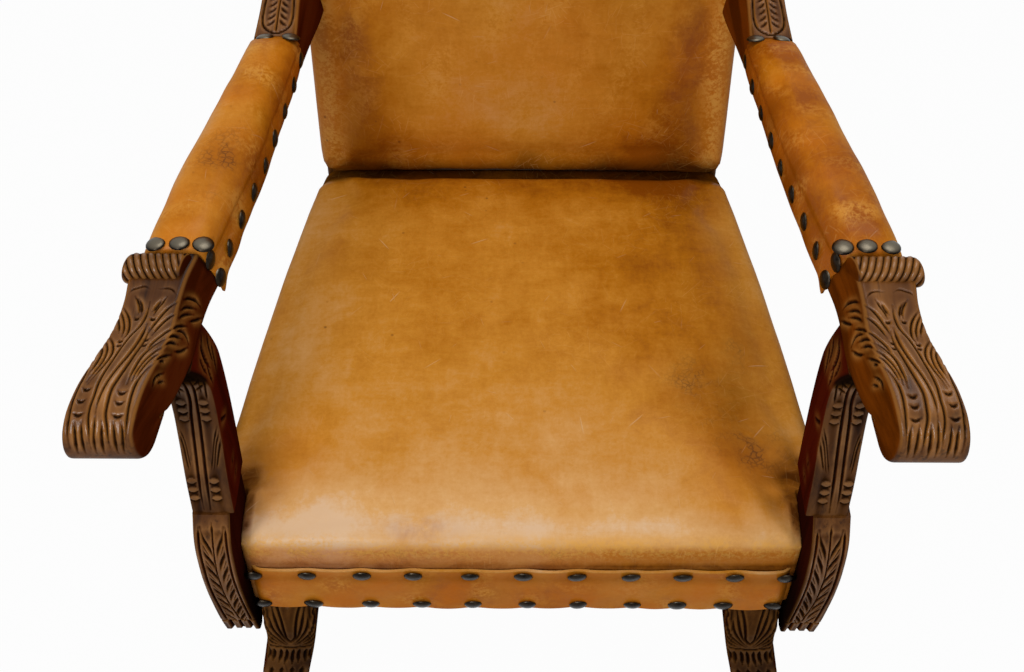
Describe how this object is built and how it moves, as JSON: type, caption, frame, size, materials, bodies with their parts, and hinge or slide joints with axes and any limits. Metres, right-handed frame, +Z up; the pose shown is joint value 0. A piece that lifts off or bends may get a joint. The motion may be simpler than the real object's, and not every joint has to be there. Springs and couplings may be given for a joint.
{
  "type": "open-arm upholstered armchair",
  "caption": "Open-arm armchair with a carved walnut frame, scrolled handgrips and arm supports, and a worn tan leather seat, back and arm pads fixed with domed nails.",
  "frame": {"origin": "on the floor under the middle of the chair's bounding box", "axes": "+Z up, the sitter faces -Y, +X to the right of a viewer who faces the front of the chair; left and right in node names are the viewer's"},
  "size_m": [0.73, 0.7378, 1.086],
  "materials": {
    "walnut": "dark oiled walnut, hand carved, edges rubbed golden, grooves dark",
    "tan_leather": "smooth tan hide with a waxy sheen, mottled, scratched and rubbed pale at the edges",
    "hair_stuffing": "matted hair and fibre stuffing",
    "jute": "woven jute webbing and canvas",
    "black_lining": "plain black cotton lining",
    "spring_steel": "dull coppered spring wire",
    "nail_bronze": "dark blackened bronze domed nail heads"
  },
  "bodies": {
    "root": {"arm_dowel_left": "walnut", "arm_dowel_right": "walnut", "arm_leather_left": "tan_leather", "arm_leather_right": "tan_leather", "arm_left": "walnut", "arm_right": "walnut", "arm_stuffing_left": "hair_stuffing", "arm_stuffing_right": "hair_stuffing", "arm_support_left": "walnut", "arm_support_right": "walnut", "back_leather": "tan_leather", "back_lower_rail": "walnut", "back_outside_leather": "tan_leather", "back_strap_cross_1": "jute", "back_strap_cross_2": "jute", "back_strap_cross_3": "jute", "back_strap_upright_1": "jute", "back_strap_upright_2": "jute", "back_stuffing": "hair_stuffing", "back_top_rail": "walnut", "front_band": "tan_leather", "front_leg_left": "walnut", "front_leg_right": "walnut", "front_rail": "walnut", "rear_post_left": "walnut", "rear_post_right": "walnut", "rear_rail": "walnut", "scroll_dowel_left": "walnut", "scroll_dowel_right": "walnut", "seat_canvas": "jute", "seat_leather": "tan_leather", "seat_lining": "black_lining", "seat_scroll_left": "walnut", "seat_scroll_right": "walnut", "seat_spring_1": "spring_steel", "seat_spring_2": "spring_steel", "seat_spring_3": "spring_steel", "seat_spring_4": "spring_steel", "seat_spring_5": "spring_steel", "seat_spring_6": "spring_steel", "seat_spring_7": "spring_steel", "seat_spring_8": "spring_steel", "seat_spring_9": "spring_steel", "seat_strap_cross_1": "jute", "seat_strap_cross_2": "jute", "seat_strap_cross_3": "jute", "seat_strap_long_1": "jute", "seat_strap_long_2": "jute", "seat_strap_long_3": "jute", "seat_stuffing": "hair_stuffing", "side_rail_left": "walnut", "side_rail_right": "walnut"}
  },
  "joints": []
}
